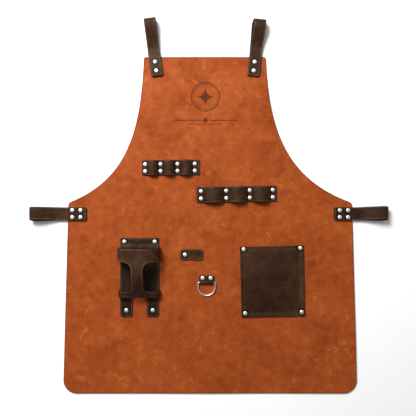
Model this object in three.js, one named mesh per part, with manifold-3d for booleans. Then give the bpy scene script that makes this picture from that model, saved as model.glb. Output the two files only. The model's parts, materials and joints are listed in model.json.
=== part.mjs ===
// A leather workshop apron lying flat, face up: a one-piece panel with riveted strap loops at the
// neck and the waist, two strips of tool loops, a bottle holder, a pocket, a tab and a D-ring.
// Millimetres. +X is to the right as seen from above, +Y runs from the hem to the bib, +Z is up.
import * as THREE from "three";
import { mergeVertices } from "three/addons/utils/BufferGeometryUtils.js";
import Module from "manifold-3d";

// ---------------------------------------------------------------- driving dimensions

const GAP = 0.3; // left between pieces that touch

const apron = {
  height: 690,
  hemWidth: 603,
  shoulderWidth: 582,
  shoulderHeight: 391,
  bibWidth: 250,
  bibLean: 11, // how far the bib's top sits to the left of the hem's centre
  thickness: 2.2,
  hemRadius: 27,
  shoulderRadius: 7,
  bibRadius: 4.5,
};
// The armhole is one cubic curve: its handles leave the bib's top corner and the shoulder corner.
const armhole = { upperDrop: 136, upperOut: 6.4, lowerIn: 137, lowerRise: 50, segments: 20 };

const rivet = {
  headRadius: 4.5,
  headMargin: 0.6, // flat leather left around each head
  headHeight: 2.4,
  shankRadius: 1.6,
  backRadius: 3.8,
  backHeight: 0.7, // the back cap is pressed flush into the underside of the apron
  sides: 8,
};

// A strap loop is a strap folded in half: both ends are riveted to the front of the apron, the two
// layers run out past the edge and part there into a loop that stands open.
const strap = {
  thickness: 2.4,
  flexFromEdge: 7, // from the apron's edge to the line where the loop bends
  flexGap: 0.6,
  closedLength: 6, // the two layers stay together this far past the flex line
  standHeight: 21, // height of the open loop above the table
  neckWidth: 24.5,
  waistWidth: 26.5,
  endRadius: 3,
};
const neckLoop = { onApron: 40, cornerInset: 22, firstRivet: 10.5, rivetSpacing: 18 };
const waistLoop = { onApron: 38.5, belowShoulder: 22.5, firstRivet: 11.5, rivetSpacing: 17, rowSpacing: 14 };
const loopReach = { neckLeft: 78, neckRight: 75.5, waistLeft: 76.5, waistRight: 71 };
const neckLean = { left: 8.2, right: 5.9 }; // degrees outwards

// A tool strip is one strap riveted down at four columns, with an arch between each two.
const toolStrip = { thickness: 2.4, footMargin: 1, footAngle: 20, archSegments: 9 };
const upperStrip = {
  x: -80.4, y: 463, tilt: 0.7, width: 31, rowSpacing: 14.2, archRise: 9.5,
  startToFirst: 6.5, columnGaps: [31.5, 34.7, 35.3], lastToEnd: 10,
};
const lowerStrip = {
  x: 54.1, y: 408.3, tilt: 1.07, width: 32, rowSpacing: 15, archRise: 12,
  startToFirst: 9.4, columnGaps: [51.7, 48.1, 46.9], lastToEnd: 8,
};

const pocket = {
  x: 128.1, y: 229.5, tilt: 1.3, width: 131, height: 145.8, thickness: 1.8,
  bulge: 7.5, rivetSide: 7.5, rivetTop: 5.4, rivetBottom: 9.4,
};

const holder = {
  x: -144.5, bottom: 157.6, width: 79, height: 161.4, thickness: 2.2, cornerRadius: 2.5,
  legWidth: 25, legLength: 41.5, legRadius: 5, slotRadius: 8,
  rivetFromSide: 8.5, rivetFromTop: 7.8, rivetFromFoot: 13.4,
};
const cradle = {
  thickness: 2.2, standHeight: 47.6, wallHeight: 18, sideBulge: 3.1, edgeBend: 1, tabLength: 13,
  upperBandTop: 142, upperBandWidth: 27.2, // both measured from the foot of the holder
  lowerBandFoot: 41, lowerBandWidth: 13.4, turnLength: 33, lowShare: 0.25,
  strapWidth: 24, upperFillet: 14, lowerFillet: 10,
};

const keeperTab = {
  x: -37.8, y: 284.8, length: 46, width: 22, thickness: 2.4, cornerRadius: 4.3, rivetFromEnd: 9.2,
};

const ring = {
  x: -7.3, y: 228.4, wireRadius: 1.6, innerWidth: 31.5, reach: 27.4, cornerRadius: 2.5,
  wireSides: 8, wireSteps: 52,
};
const ringTab = {
  thickness: 1.8, sideClearance: 0.8, foldSlack: 0.6, endMargin: 0.2, rivetSpacing: 16.4,
};

const tan = { color: 0xa8542c, roughness: 0.62, metalness: 0 };
const darkBrown = { color: 0x47342a, roughness: 0.55, metalness: 0 };
const pocketBrown = { color: 0x3a281e, roughness: 0.5, metalness: 0 };
const nickel = { color: 0xd8d4cc, roughness: 0.18, metalness: 1 };

// Heights of the stacked layers.
const apronTop = apron.thickness;
const firstLayer = apronTop + GAP;
const holeRadius = rivet.shankRadius + GAP;

// ---------------------------------------------------------------- shapes and solids

const wasm = await Module();
wasm.setup();

/** A closed three.js geometry as a solid that can be joined and cut. */
function solidOf(geometry) {
  const loose = geometry.index ? geometry.toNonIndexed() : geometry;
  const bare = new THREE.BufferGeometry().setAttribute("position", loose.getAttribute("position"));
  const merged = mergeVertices(bare, 1e-4);
  return new wasm.Manifold(
    new wasm.Mesh({
      numProp: 3,
      vertProperties: merged.attributes.position.array,
      triVerts: new Uint32Array(merged.index.array),
    }),
  );
}

/** A solid as a three.js geometry with flat faces. */
function geometryOf(solid) {
  const { vertProperties, triVerts } = solid.getMesh();
  const geometry = new THREE.BufferGeometry()
    .setAttribute("position", new THREE.BufferAttribute(new Float32Array(vertProperties), 3))
    .setIndex(new THREE.BufferAttribute(new Uint32Array(triVerts), 1))
    .toNonIndexed();
  geometry.computeVertexNormals();
  return geometry;
}

function named(name, geometry, look) {
  const mesh = new THREE.Mesh(geometry, new THREE.MeshStandardMaterial({ ...look, flatShading: true }));
  mesh.name = name;
  return mesh;
}

/** A closed outline through corners [x, y, radius]; a radius turns its corner into a tangent arc. */
function roundedShape(corners) {
  const shape = new THREE.Shape();
  corners.forEach(([x, y, radius = 0], i) => {
    if (!radius) {
      if (i) shape.lineTo(x, y);
      else shape.moveTo(x, y);
      return;
    }
    const corner = new THREE.Vector2(x, y);
    const [before, after] = [corners.at(i - 1), corners[(i + 1) % corners.length]].map(([px, py]) =>
      new THREE.Vector2(px, py).sub(corner).normalize(),
    );
    const half = Math.acos(before.dot(after)) / 2;
    const centre = before.clone().add(after).setLength(radius / Math.sin(half)).add(corner);
    const start = before.clone().multiplyScalar(radius / Math.tan(half)).add(corner).sub(centre);
    const end = after.clone().multiplyScalar(radius / Math.tan(half)).add(corner).sub(centre);
    shape.absarc(centre.x, centre.y, radius, start.angle(), end.angle(), before.cross(after) > 0);
  });
  return shape;
}

function roundedRectangle(width, height, radius) {
  const [x, y] = [width / 2, height / 2];
  return roundedShape([[-x, -y, radius], [x, -y, radius], [x, y, radius], [-x, y, radius]]);
}

/** A flat plate with the given outline, its underside at height z. */
function plate(shape, z, thickness) {
  const options = { depth: thickness, bevelEnabled: false, curveSegments: 3 };
  return new THREE.ExtrudeGeometry(shape, options).translate(0, 0, z);
}

/** The open line of points moved sideways by a distance, to the left of its direction. */
function offsetLine(points, distance) {
  const leftOf = (a, b) => new THREE.Vector2(a.y - b.y, b.x - a.x).normalize();
  return points.map((point, i) => {
    const before = leftOf(points[Math.max(i - 1, 0)], points[Math.max(i, 1)]);
    const after = leftOf(points[Math.min(i, points.length - 2)], points[Math.min(i + 1, points.length - 1)]);
    const mitre = before.clone().add(after).divideScalar(1 + before.dot(after));
    return mitre.multiplyScalar(distance).add(point);
  });
}

/** The closed outline of a strap of some thickness seen edge on, around its middle line. */
function edgeOutline(middle, thickness) {
  return [...offsetLine(middle, -thickness / 2), ...offsetLine(middle, thickness / 2).reverse()];
}

/** An edge-on outline (along X, height Z) given its width along Y, centred on the X axis. */
function acrossY(shape, width) {
  return new THREE.ExtrudeGeometry(shape, { depth: width, bevelEnabled: false })
    .rotateX(Math.PI / 2)
    .translate(0, width / 2, 0);
}

/** The same, but running along Y with its width along X. */
function acrossX(shape, width) {
  return acrossY(shape, width).rotateZ(Math.PI / 2);
}

/** A closed skin through equal outlines (x, z), one at each y; the outlines turn counterclockwise. */
function loft(outlines, ys) {
  const count = outlines[0].length;
  const positions = outlines.flatMap((outline, k) => outline.flatMap((p) => [p.x, ys[k], p.y]));
  const index = [];
  for (let k = 0; k + 1 < outlines.length; k++) {
    for (let i = 0; i < count; i++) {
      const [a, b] = [k * count + i, k * count + ((i + 1) % count)];
      index.push(a, a + count, b, b, a + count, b + count);
    }
  }
  const last = (outlines.length - 1) * count;
  for (const [a, b, c] of THREE.ShapeUtils.triangulateShape(outlines[0], [])) index.push(a, b, c);
  for (const [a, b, c] of THREE.ShapeUtils.triangulateShape(outlines.at(-1), [])) {
    index.push(last + a, last + c, last + b);
  }
  return new THREE.BufferGeometry()
    .setAttribute("position", new THREE.Float32BufferAttribute(positions, 3))
    .setIndex(index);
}

/** The solid with a rivet hole cut through it at each place [x, y]. */
function drilled(solid, places) {
  const { min, max } = solid.boundingBox();
  const depth = max[2] - min[2] + 2;
  const drill = new THREE.CylinderGeometry(holeRadius, holeRadius, depth, rivet.sides).rotateX(Math.PI / 2);
  return places.reduce((left, [x, y]) => {
    const tool = drill.clone().translate(x, y, (min[2] + max[2]) / 2);
    return left.subtract(solidOf(tool));
  }, solid);
}

// ---------------------------------------------------------------- rivets

/** A domed rivet whose head sits on a stack of leather that ends at height stackTop. */
function rivetMesh(name, [x, y], stackTop) {
  const { headRadius, headHeight, shankRadius, backRadius, backHeight, sides } = rivet;
  const headFoot = stackTop + GAP;
  const profile = [
    [0, 0],
    [backRadius, 0],
    [backRadius, backHeight],
    [shankRadius, backHeight],
    [shankRadius, headFoot],
    [headRadius, headFoot],
    [headRadius, headFoot + headHeight * 0.3],
    [headRadius * 0.62, headFoot + headHeight * 0.85],
    [0, headFoot + headHeight],
  ].map(([r, z]) => new THREE.Vector2(r, z));
  const mesh = named(name, new THREE.LatheGeometry(profile, sides).rotateX(Math.PI / 2), nickel);
  mesh.position.set(x, y, 0);
  mesh.userData.isRivet = true;
  return mesh;
}

function rivetMeshes(prefix, places, stackTop) {
  return places.map((place, i) => rivetMesh(`${prefix}_rivet_${i + 1}`, place, stackTop));
}

/** What a rivet takes out of the apron: its hole and the seat of its back cap. */
function rivetSeat() {
  const seatRadius = rivet.backRadius + GAP;
  const seatTop = rivet.backHeight + GAP;
  const profile = [
    [0, -1],
    [seatRadius, -1],
    [seatRadius, seatTop],
    [holeRadius, seatTop],
    [holeRadius, apronTop + 1],
    [0, apronTop + 1],
  ].map(([r, z]) => new THREE.Vector2(r, z));
  return new THREE.LatheGeometry(profile, rivet.sides).rotateX(Math.PI / 2);
}

// ---------------------------------------------------------------- apron panel

/** Half the width of the apron between the hem and the shoulder, at height y. */
function sideAt(y) {
  const share = y / apron.shoulderHeight;
  return (apron.hemWidth * (1 - share) + apron.shoulderWidth * share) / 2;
}

/** The armhole from the shoulder up to the bib's top corner; side is 1 right, -1 left. */
function armholePoints(side) {
  const shoulder = apron.shoulderWidth / 2;
  const bib = apron.bibWidth / 2;
  const lowerHandleLean = 0.6 * apron.bibLean;
  const curve = new THREE.CubicBezierCurve(
    new THREE.Vector2(side * shoulder, apron.shoulderHeight),
    new THREE.Vector2(
      side * (shoulder - armhole.lowerIn) - lowerHandleLean,
      apron.shoulderHeight + armhole.lowerRise,
    ),
    new THREE.Vector2(side * (bib + armhole.upperOut) - apron.bibLean, apron.height - armhole.upperDrop),
    new THREE.Vector2(side * bib - apron.bibLean, apron.height),
  );
  return curve.getPoints(armhole.segments).slice(1, -1).map((p) => [p.x, p.y]);
}

function apronShape() {
  const hem = apron.hemWidth / 2;
  const shoulder = apron.shoulderWidth / 2;
  const bib = apron.bibWidth / 2;
  return roundedShape([
    [-hem, 0, apron.hemRadius],
    [hem, 0, apron.hemRadius],
    [shoulder, apron.shoulderHeight, apron.shoulderRadius],
    ...armholePoints(1),
    [bib - apron.bibLean, apron.height, apron.bibRadius],
    [-bib - apron.bibLean, apron.height, apron.bibRadius],
    ...armholePoints(-1).reverse(),
    [-shoulder, apron.shoulderHeight, apron.shoulderRadius],
  ]);
}

/** The panel, with a seat for every rivet of the pieces already placed on it. */
function apronPanel(pieces) {
  let panel = solidOf(plate(apronShape(), 0, apron.thickness));
  const seat = rivetSeat();
  pieces.updateMatrixWorld(true);
  pieces.traverse((piece) => {
    if (!piece.userData.isRivet) return;
    const { x, y } = piece.getWorldPosition(new THREE.Vector3());
    panel = panel.subtract(solidOf(seat.clone().translate(x, y, 0)));
  });
  return named("apron_panel", geometryOf(panel), tan);
}

// ---------------------------------------------------------------- neck and waist loops

/** The open loop seen edge on, from the flex line at the origin; z is up, the strap runs along x. */
function loopShape(reach, flexHeight) {
  const t = strap.thickness;
  const top = strap.standHeight - t / 2 - flexHeight;
  const foot = t / 2 - flexHeight;
  const turn = (top - foot) / 2;
  const turnX = reach - t / 2 - turn;
  const start = strap.closedLength;
  const ease = (turnX - start) * 0.45;
  const leg = (z0, z1) =>
    new THREE.CubicBezierCurve(
      new THREE.Vector2(start, z0),
      new THREE.Vector2(start + ease, z0),
      new THREE.Vector2(turnX - ease, z1),
      new THREE.Vector2(turnX, z1),
    ).getPoints(8);
  // An odd number of segments leaves one flat facet across the very end of the loop.
  const bend = new THREE.EllipseCurve(turnX, (top + foot) / 2, turn, turn, Math.PI / 2, -Math.PI / 2, true)
    .getPoints(9)
    .slice(1, -1);
  const middle = [...leg(t / 2, top), ...bend, ...leg(-t / 2, foot).reverse()];
  const knuckle = new THREE.EllipseCurve(0, 0, t, t, -Math.PI / 2, Math.PI / 2, true).getPoints(8);
  const shape = new THREE.Shape([...knuckle, ...offsetLine(middle, t / 2)]);
  // A hole runs the other way round from its outline.
  shape.holes.push(new THREE.Path(offsetLine(middle, -t / 2).slice(0, -1).reverse()));
  return shape;
}

/** A strap loop whose own +Y points away from the apron, with its origin on the apron's edge. */
function strapLoop(name, { width, onApron, reach, places }) {
  const stack = 2 * strap.thickness;
  const baseEnd = strap.flexFromEdge - strap.thickness - strap.flexGap;
  const half = width / 2;
  const baseShape = roundedShape([
    [-half, -onApron, strap.endRadius],
    [half, -onApron, strap.endRadius],
    [half, baseEnd],
    [-half, baseEnd],
  ]);
  const base = drilled(solidOf(plate(baseShape, firstLayer, stack)), places);

  const flex = new THREE.Group(); // its origin lies on the line where the strap bends
  const flexHeight = firstLayer + strap.thickness;
  flex.position.set(0, strap.flexFromEdge, flexHeight);
  const loopSolid = acrossX(loopShape(reach - strap.flexFromEdge, flexHeight), width);
  flex.add(named(name, loopSolid, darkBrown));

  const group = new THREE.Group();
  group.add(named(`${name}_base`, geometryOf(base), darkBrown), flex);
  group.add(...rivetMeshes(name, places, firstLayer + stack));
  return group;
}

function neckLoopAt(name, side, lean, reach) {
  const first = -neckLoop.onApron + neckLoop.firstRivet;
  const loop = strapLoop(name, {
    width: strap.neckWidth,
    onApron: neckLoop.onApron,
    reach,
    places: [[0, first], [0, first + neckLoop.rivetSpacing]],
  });
  const x = side * (apron.bibWidth / 2 - neckLoop.cornerInset) - apron.bibLean;
  loop.position.set(x, apron.height, 0);
  loop.rotation.z = THREE.MathUtils.degToRad(-side * lean);
  return loop;
}

function waistLoopAt(name, side, reach) {
  const first = -waistLoop.onApron + waistLoop.firstRivet;
  const second = first + waistLoop.rivetSpacing;
  const row = waistLoop.rowSpacing / 2;
  const loop = strapLoop(name, {
    width: strap.waistWidth,
    onApron: waistLoop.onApron,
    reach,
    places: [[-row, first], [row, first], [-row, second], [row, second]],
  });
  const y = apron.shoulderHeight - waistLoop.belowShoulder;
  loop.position.set(side * sideAt(y), y, 0);
  loop.rotation.z = (-side * Math.PI) / 2;
  return loop;
}

// ---------------------------------------------------------------- tool strips

/** Half an ellipse without its steep ends: the middle line of one arch of a tool strip. */
function archPoints(from, to, rise) {
  const low = THREE.MathUtils.degToRad(toolStrip.footAngle);
  const [centre, half] = [(from + to) / 2, (to - from) / 2];
  const points = [];
  for (let i = 0; i <= toolStrip.archSegments; i++) {
    const angle = low + ((Math.PI - 2 * low) * i) / toolStrip.archSegments;
    const lift = (Math.sin(angle) - Math.sin(low)) / (1 - Math.sin(low));
    points.push(new THREE.Vector2(centre - (half * Math.cos(angle)) / Math.cos(low), rise * lift));
  }
  return points;
}

function toolStripAt(name, size) {
  const columns = [size.startToFirst];
  for (const gap of size.columnGaps) columns.push(columns.at(-1) + gap);
  const length = columns.at(-1) + size.lastToEnd;
  const middle = [new THREE.Vector2(0, 0)];
  for (let i = 0; i + 1 < columns.length; i++) {
    const foot = rivet.headRadius + toolStrip.footMargin;
    middle.push(...archPoints(columns[i] + foot, columns[i + 1] - foot, size.archRise));
  }
  middle.push(new THREE.Vector2(length, 0));

  const places = columns.flatMap((x) => [-1, 1].map((side) => [x, (side * size.rowSpacing) / 2]));
  const blank = acrossY(new THREE.Shape(edgeOutline(middle, toolStrip.thickness)), size.width);
  blank.translate(0, 0, firstLayer + toolStrip.thickness / 2);
  const strip = drilled(solidOf(blank), places);

  const group = new THREE.Group(); // starts at the strip's left end, so it is centred by its length
  group.add(named(name, geometryOf(strip), darkBrown));
  group.add(...rivetMeshes(name, places, firstLayer + toolStrip.thickness));
  group.rotation.z = THREE.MathUtils.degToRad(size.tilt);
  const toCentre = new THREE.Vector3(-length / 2, 0, 0).applyEuler(group.rotation);
  group.position.set(size.x, size.y, 0).add(toCentre);
  return group;
}

// ---------------------------------------------------------------- pocket

const pocketBorder = pocket.rivetSide + rivet.headRadius + rivet.headMargin / 2;

/** Height of the pocket's front above its flat border: full at the mouth, none at the border. */
function pocketBulge(x, y) {
  const inner = pocket.width / 2 - pocketBorder;
  const across = Math.min(Math.abs(x) / inner, 1);
  const down = THREE.MathUtils.clamp((pocket.height / 2 - y) / (pocket.height - pocketBorder), 0, 1);
  return pocket.bulge * (1 - across ** 4) * (1 - down ** 4);
}

function pocketGroup() {
  const [w, h] = [pocket.width / 2, pocket.height / 2];
  const inner = w - pocketBorder;
  const xs = [-w];
  for (let i = -8; i <= 8; i++) xs.push((inner * i) / 8);
  xs.push(w);
  const ys = [-h];
  for (let i = 0; i <= 8; i++) ys.push(-h + pocketBorder + ((pocket.height - pocketBorder) * i) / 8);
  const middleHeight = firstLayer + pocket.thickness / 2;
  const outlines = ys.map((y) =>
    edgeOutline(xs.map((x) => new THREE.Vector2(x, middleHeight + pocketBulge(x, y))), pocket.thickness),
  );
  const places = [
    [-w + pocket.rivetSide, h - pocket.rivetTop],
    [w - pocket.rivetSide, h - pocket.rivetTop],
    [-w + pocket.rivetSide, -h + pocket.rivetBottom],
    [w - pocket.rivetSide, -h + pocket.rivetBottom],
  ];
  const front = drilled(solidOf(loft(outlines, ys)), places);

  const group = new THREE.Group();
  group.add(named("pocket_front", geometryOf(front), pocketBrown));
  group.add(...rivetMeshes("pocket", places, firstLayer + pocket.thickness));
  group.position.set(pocket.x, pocket.y, 0);
  group.rotation.z = THREE.MathUtils.degToRad(pocket.tilt);
  return group;
}

// ---------------------------------------------------------------- bottle holder

/** The holder's back: flat at its rivets, stepped up over the cradle's tabs that lie behind it. */
function holderBack(places) {
  const { height, width, legWidth, legLength, thickness } = holder;
  const low = firstLayer + thickness / 2;
  const high = low + cradle.thickness + GAP;
  const stepFoot = cradle.lowerBandFoot - 3 * GAP - thickness;
  const stepTop = cradle.upperBandTop + 3 * GAP;
  const rampLength = height - holder.rivetFromTop - rivet.headRadius - rivet.headMargin - stepTop;
  const middle = [
    [0, low],
    [stepFoot - rampLength, low],
    [stepFoot, high],
    [stepTop, high],
    [stepTop + rampLength, low],
    [height, low],
  ].map(([y, z]) => new THREE.Vector2(y, z));
  const sheet = acrossX(new THREE.Shape(edgeOutline(middle, thickness)), width);

  const [side, slot] = [width / 2, width / 2 - legWidth];
  const outline = roundedShape([
    [-side, 0, holder.legRadius],
    [-slot, 0, holder.legRadius],
    [-slot, legLength, holder.slotRadius],
    [slot, legLength, holder.slotRadius],
    [slot, 0, holder.legRadius],
    [side, 0, holder.legRadius],
    [side, height, holder.cornerRadius],
    [-side, height, holder.cornerRadius],
  ]);
  const cutter = plate(outline, 0, high + thickness);
  return drilled(solidOf(sheet).intersect(solidOf(cutter)), places);
}

/** Edge-on middle line of the cradle: tab, wall and arch, with its height scaled by a share. */
function cradleLine(share) {
  const tabHeight = firstLayer + cradle.thickness / 2;
  const wall = holder.width / 2 + cradle.sideBulge - cradle.thickness / 2;
  const archFoot = firstLayer + cradle.wallHeight;
  const archTop = firstLayer + cradle.standHeight - cradle.thickness / 2;
  const right = [
    [holder.width / 2 - cradle.tabLength, tabHeight],
    [wall - cradle.edgeBend, tabHeight],
    [wall, tabHeight + cradle.edgeBend],
  ];
  for (let i = 0; i < 7; i++) {
    const angle = (i / 7) * (Math.PI / 2);
    right.push([wall * Math.cos(angle), archFoot + (archTop - archFoot) * Math.sin(angle)]);
  }
  const left = right.map(([x, z]) => [-x, z]).reverse();
  const bendTop = tabHeight + cradle.edgeBend;
  const lift = (z) => (z > bendTop ? bendTop + (z - bendTop) * share : z);
  return [...right, [0, archTop], ...left].map(([x, z]) => new THREE.Vector2(x, lift(z)));
}

/** The cradle's outline from above: two bands joined by an upright strap with filleted corners. */
function cradleOutline() {
  const wide = holder.width; // well past the walls on both sides
  const strapHalf = cradle.strapWidth / 2;
  const foot = cradle.lowerBandFoot;
  const lowerTop = foot + cradle.lowerBandWidth;
  const top = cradle.upperBandTop;
  const upperFoot = top - cradle.upperBandWidth;
  return roundedShape([
    [-wide, foot],
    [wide, foot],
    [wide, lowerTop],
    [strapHalf, lowerTop, cradle.lowerFillet],
    [strapHalf, upperFoot, cradle.upperFillet],
    [wide, upperFoot],
    [wide, top],
    [-wide, top],
    [-wide, upperFoot],
    [-strapHalf, upperFoot, cradle.upperFillet],
    [-strapHalf, lowerTop, cradle.lowerFillet],
    [-wide, lowerTop],
  ]);
}

function holderCradle() {
  const foot = cradle.lowerBandFoot;
  const turnTop = foot + cradle.turnLength;
  const ys = [];
  for (let i = 0; i <= 8; i++) ys.push(foot + (cradle.turnLength * i) / 8);
  ys.push(cradle.upperBandTop);
  const outlines = ys.map((y) => {
    const rise = THREE.MathUtils.smoothstep(y, foot, turnTop);
    return edgeOutline(cradleLine(cradle.lowShare + (1 - cradle.lowShare) * rise), cradle.thickness);
  });
  const cutter = plate(cradleOutline(), 0, 2 * cradle.standHeight);
  return solidOf(loft(outlines, ys)).intersect(solidOf(cutter));
}

function holderGroup() {
  const topX = holder.width / 2 - holder.rivetFromSide;
  const footX = holder.width / 2 - holder.legWidth / 2;
  const topY = holder.height - holder.rivetFromTop;
  const places = [[-topX, topY], [topX, topY], [-footX, holder.rivetFromFoot], [footX, holder.rivetFromFoot]];
  const group = new THREE.Group();
  group.add(named("holder_back", geometryOf(holderBack(places)), darkBrown));
  group.add(named("holder_cradle", geometryOf(holderCradle()), darkBrown));
  group.add(...rivetMeshes("holder", places, firstLayer + holder.thickness));
  group.position.set(holder.x, holder.bottom, 0);
  return group;
}

// ---------------------------------------------------------------- tab and D-ring

/** A small tab held by one rivet, which it can turn on; the group's origin is on the rivet. */
function keeperTabGroup() {
  const offset = keeperTab.length / 2 - keeperTab.rivetFromEnd;
  const outline = roundedRectangle(keeperTab.length, keeperTab.width, keeperTab.cornerRadius);
  const blank = plate(outline, firstLayer, keeperTab.thickness).translate(offset, 0, 0);
  const group = new THREE.Group();
  group.add(named("keeper_tab", geometryOf(drilled(solidOf(blank), [[0, 0]])), darkBrown));
  group.add(rivetMesh("keeper_tab_rivet", [0, 0], firstLayer + keeperTab.thickness));
  group.position.set(keeperTab.x - offset, keeperTab.y, 0);
  return group;
}

/** The D-ring with its straight bar along X through the origin, hanging towards -Y. */
function ringGeometry() {
  const half = ring.innerWidth / 2 + ring.wireRadius;
  const outline = new THREE.Shape();
  const c = ring.cornerRadius;
  outline.absarc(0, half - ring.reach, half, Math.PI, 2 * Math.PI, false);
  outline.absarc(half - c, -c, c, 0, Math.PI / 2, false);
  outline.absarc(c - half, -c, c, Math.PI / 2, Math.PI, false);
  const points = outline.getSpacedPoints(ring.wireSteps).slice(0, -1);
  const path = new THREE.CatmullRomCurve3(points.map((p) => new THREE.Vector3(p.x, p.y, 0)), true);
  return new THREE.TubeGeometry(path, ring.wireSteps, ring.wireRadius, ring.wireSides, true);
}

// Distances above the middle of the ring's bar: the fold's radius, then the flat leaf and its rivets.
const tabWrap = ring.wireRadius + GAP + ringTab.thickness / 2;
const tabFlatFrom = tabWrap + ringTab.foldSlack;
const tabRivet = tabFlatFrom + rivet.headMargin + rivet.headRadius;
const tabEnd = tabRivet + rivet.headRadius + ringTab.endMargin;

/** Edge-on middle line of the tab: lower leaf, round the ring's bar, then down onto itself. */
function ringTabLine(barHeight) {
  const t = ringTab.thickness;
  const lowerLeaf = firstLayer + t / 2;
  const upperLeaf = lowerLeaf + t + GAP;
  const flatStart = new THREE.Vector2(tabFlatFrom, upperLeaf - barHeight);
  const leaveAt = Math.atan2(flatStart.y, flatStart.x) + Math.acos(tabWrap / flatStart.length()); // tangent
  const turnEnd = leaveAt - 2 * Math.PI;
  const around = new THREE.EllipseCurve(0, barHeight, tabWrap, tabWrap, -Math.PI / 2, turnEnd, true);
  return [
    new THREE.Vector2(tabEnd, lowerLeaf),
    ...around.getPoints(10),
    new THREE.Vector2(tabFlatFrom, upperLeaf),
    new THREE.Vector2(tabEnd, upperLeaf),
  ];
}

function ringGroup() {
  const barHeight = firstLayer + ringTab.thickness + GAP + ring.wireRadius;
  const width = ring.innerWidth - 2 * ringTab.sideClearance;
  const half = ringTab.rivetSpacing / 2;
  const places = [[-half, tabRivet], [half, tabRivet]];
  const outline = edgeOutline(ringTabLine(barHeight), ringTab.thickness);
  const tab = drilled(solidOf(acrossX(new THREE.Shape(outline), width)), places);

  const swing = new THREE.Group(); // its origin is the middle of the bar, its tilt lays the ring down
  swing.position.z = barHeight;
  swing.rotation.x = Math.asin((barHeight - firstLayer - ring.wireRadius) / (ring.reach - ring.wireRadius));
  swing.add(named("d_ring", ringGeometry(), nickel));

  const group = new THREE.Group();
  group.add(named("d_ring_tab", geometryOf(tab), darkBrown), swing);
  const stack = 2 * ringTab.thickness + GAP;
  group.add(...rivetMeshes("d_ring_tab", places, firstLayer + stack));
  group.position.set(ring.x, ring.y, 0);
  return group;
}

// ---------------------------------------------------------------- assembly

const part = new THREE.Group();
part.add(
  neckLoopAt("neck_loop_left", -1, neckLean.left, loopReach.neckLeft),
  neckLoopAt("neck_loop_right", 1, neckLean.right, loopReach.neckRight),
  waistLoopAt("waist_loop_left", -1, loopReach.waistLeft),
  waistLoopAt("waist_loop_right", 1, loopReach.waistRight),
  toolStripAt("tool_strip_upper", upperStrip),
  toolStripAt("tool_strip_lower", lowerStrip),
  pocketGroup(),
  holderGroup(),
  keeperTabGroup(),
  ringGroup(),
);
part.add(apronPanel(part));

// The part's origin is the middle of the bottom of its bounding box.
part.updateMatrixWorld(true);
const bounds = new THREE.Box3().setFromObject(part, true);
const middle = bounds.getCenter(new THREE.Vector3());
part.position.set(-middle.x, -middle.y, -bounds.min.z);

export default part;
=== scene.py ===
"""A leather workshop apron lying flat, face up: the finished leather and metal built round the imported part.
Shapes are worked out in millimetres and stored in metres. +X is to the right as seen from above,
+Y runs from the hem to the bib, +Z is up."""

import json
import math

import bmesh
import bpy
import numpy as np
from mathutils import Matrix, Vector


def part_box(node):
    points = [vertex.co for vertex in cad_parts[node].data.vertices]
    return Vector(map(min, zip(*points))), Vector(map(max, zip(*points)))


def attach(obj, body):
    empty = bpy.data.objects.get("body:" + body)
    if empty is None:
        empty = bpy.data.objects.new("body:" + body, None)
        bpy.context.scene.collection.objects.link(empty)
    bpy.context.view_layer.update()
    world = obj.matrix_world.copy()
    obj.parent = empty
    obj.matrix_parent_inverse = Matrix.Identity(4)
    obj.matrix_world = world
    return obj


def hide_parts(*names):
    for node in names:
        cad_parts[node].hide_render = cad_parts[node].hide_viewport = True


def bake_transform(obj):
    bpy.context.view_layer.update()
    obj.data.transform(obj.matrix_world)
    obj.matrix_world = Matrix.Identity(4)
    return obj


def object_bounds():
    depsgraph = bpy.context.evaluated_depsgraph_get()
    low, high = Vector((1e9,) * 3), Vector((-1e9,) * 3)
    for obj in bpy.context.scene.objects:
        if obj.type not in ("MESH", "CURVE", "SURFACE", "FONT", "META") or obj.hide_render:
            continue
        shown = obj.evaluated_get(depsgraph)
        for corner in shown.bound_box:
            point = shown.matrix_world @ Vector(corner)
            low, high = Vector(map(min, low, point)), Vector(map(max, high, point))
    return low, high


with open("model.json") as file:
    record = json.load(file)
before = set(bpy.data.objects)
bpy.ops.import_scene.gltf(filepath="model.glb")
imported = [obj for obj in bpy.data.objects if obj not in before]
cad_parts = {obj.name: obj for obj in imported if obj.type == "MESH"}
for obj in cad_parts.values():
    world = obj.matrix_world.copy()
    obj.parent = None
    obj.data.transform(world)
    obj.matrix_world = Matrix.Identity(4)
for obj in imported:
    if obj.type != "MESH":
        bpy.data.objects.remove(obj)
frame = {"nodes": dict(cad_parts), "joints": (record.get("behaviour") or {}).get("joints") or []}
cad_low, cad_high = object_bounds()

MM = 0.001
LAYER = 2.5  # height of the first layer of leather on the apron
RIVET_HEAD = 4.5  # half width of a rivet's cap
LEATHER = 2.2
STRAP = 2.4
WIRE = 1.6  # half thickness of the ring's wire
FAR_OFF = 40.0  # distances to edges and rivets are kept up to this
joints = {j["name"]: j for j in frame["joints"]}


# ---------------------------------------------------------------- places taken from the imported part


def corners_of(node):
    """Lowest and highest corner of a node, in millimetres."""
    low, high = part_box(node)
    return np.array(low) / MM, np.array(high) / MM


def middle_of(node):
    """The middle of a node's box as seen from above, in millimetres."""
    low, high = corners_of(node)
    return (low[:2] + high[:2]) / 2


def rivet_places(prefix):
    """Where the rivets of a piece stand, in the order of their numbers."""
    names = [n for n in frame["nodes"] if n.startswith(prefix) and "rivet" in n]
    return np.array([middle_of(n) for n in sorted(names)])


def unit(v):
    """The direction of v, with length 1."""
    return np.asarray(v, float) / np.linalg.norm(v)


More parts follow.
